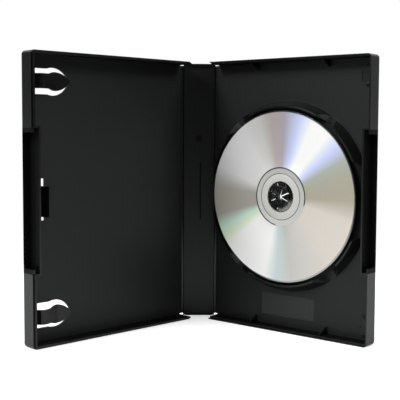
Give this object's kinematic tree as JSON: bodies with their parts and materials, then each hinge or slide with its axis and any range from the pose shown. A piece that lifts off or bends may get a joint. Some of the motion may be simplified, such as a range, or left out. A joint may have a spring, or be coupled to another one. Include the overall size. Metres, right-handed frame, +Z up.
{
  "type": "dvd keep case",
  "caption": "Open keep case for a single disc: cover with booklet clips, spine and disc tray joined by thin hinges, with a disc held on a springy hub.",
  "frame": {"origin": "centre of the footprint, on the plane the case stands on", "axes": "+Z up along the hinges, +X across the open case from cover to tray, +Y from the open side towards the spine"},
  "size_m": [0.2282, 0.1016, 0.19],
  "materials": {
    "case": "satin black moulded polypropylene",
    "disc": "clear polycarbonate over a silver layer"
  },
  "bodies": {
    "tray": {"disc_tray": "case", "disc": "disc"},
    "spine": {"spine": "case"},
    "cover": {"front_cover": "case"},
    "petal_1": {"hub_petal_1": "case"},
    "petal_2": {"hub_petal_2": "case"},
    "petal_3": {"hub_petal_3": "case"},
    "petal_4": {"hub_petal_4": "case"},
    "petal_5": {"hub_petal_5": "case"},
    "petal_6": {"hub_petal_6": "case"},
    "petal_7": {"hub_petal_7": "case"},
    "petal_8": {"hub_petal_8": "case"}
  },
  "joints": [
    {"name": "tray_hinge", "type": "hinge", "parent": "tray", "child": "spine", "pos_m": [0.01123, 0.05045, 0.095], "axis": [0, 0, 1], "range_deg": [-40.3, 49.7]},
    {"name": "cover_hinge", "type": "hinge", "parent": "spine", "child": "cover", "pos_m": [-0.01437, 0.05045, 0.095], "axis": [0, 0, 1], "range_deg": [-42.3, 47.7]},
    {"name": "petal_1_bend", "type": "hinge", "parent": "tray", "child": "petal_1", "pos_m": [0.06319, -0.00161, 0.0943], "axis": [0, 0, -1], "range_deg": [0, 8], "stiffness_Nm_per_rad": 0.02},
    {"name": "petal_2_bend", "type": "hinge", "parent": "tray", "child": "petal_2", "pos_m": [0.06111, 0.00015, 0.10088], "axis": [0.5393, -0.4573, -0.7071], "range_deg": [0, 8], "stiffness_Nm_per_rad": 0.02},
    {"name": "petal_3_bend", "type": "hinge", "parent": "tray", "child": "petal_3", "pos_m": [0.0561, 0.00441, 0.1036], "axis": [0.7627, -0.6468, 0], "range_deg": [0, 8], "stiffness_Nm_per_rad": 0.02},
    {"name": "petal_4_bend", "type": "hinge", "parent": "tray", "child": "petal_4", "pos_m": [0.05108, 0.00866, 0.10088], "axis": [0.5393, -0.4573, 0.7071], "range_deg": [0, 8], "stiffness_Nm_per_rad": 0.02},
    {"name": "petal_5_bend", "type": "hinge", "parent": "tray", "child": "petal_5", "pos_m": [0.04901, 0.01042, 0.0943], "axis": [0, 0, 1], "range_deg": [0, 8], "stiffness_Nm_per_rad": 0.02},
    {"name": "petal_6_bend", "type": "hinge", "parent": "tray", "child": "petal_6", "pos_m": [0.05108, 0.00866, 0.08772], "axis": [-0.5393, 0.4573, 0.7071], "range_deg": [0, 8], "stiffness_Nm_per_rad": 0.02},
    {"name": "petal_7_bend", "type": "hinge", "parent": "tray", "child": "petal_7", "pos_m": [0.0561, 0.00441, 0.085], "axis": [-0.7627, 0.6468, 0], "range_deg": [0, 8], "stiffness_Nm_per_rad": 0.02},
    {"name": "petal_8_bend", "type": "hinge", "parent": "tray", "child": "petal_8", "pos_m": [0.06111, 0.00015, 0.08772], "axis": [-0.5393, 0.4573, -0.7071], "range_deg": [0, 8], "stiffness_Nm_per_rad": 0.02}
  ],
  "couplings": [
    {"joint": "petal_2_bend", "follows": "petal_1_bend", "ratio": 1},
    {"joint": "petal_3_bend", "follows": "petal_1_bend", "ratio": 1},
    {"joint": "petal_4_bend", "follows": "petal_1_bend", "ratio": 1},
    {"joint": "petal_5_bend", "follows": "petal_1_bend", "ratio": 1},
    {"joint": "petal_6_bend", "follows": "petal_1_bend", "ratio": 1},
    {"joint": "petal_7_bend", "follows": "petal_1_bend", "ratio": 1},
    {"joint": "petal_8_bend", "follows": "petal_1_bend", "ratio": 1}
  ]
}
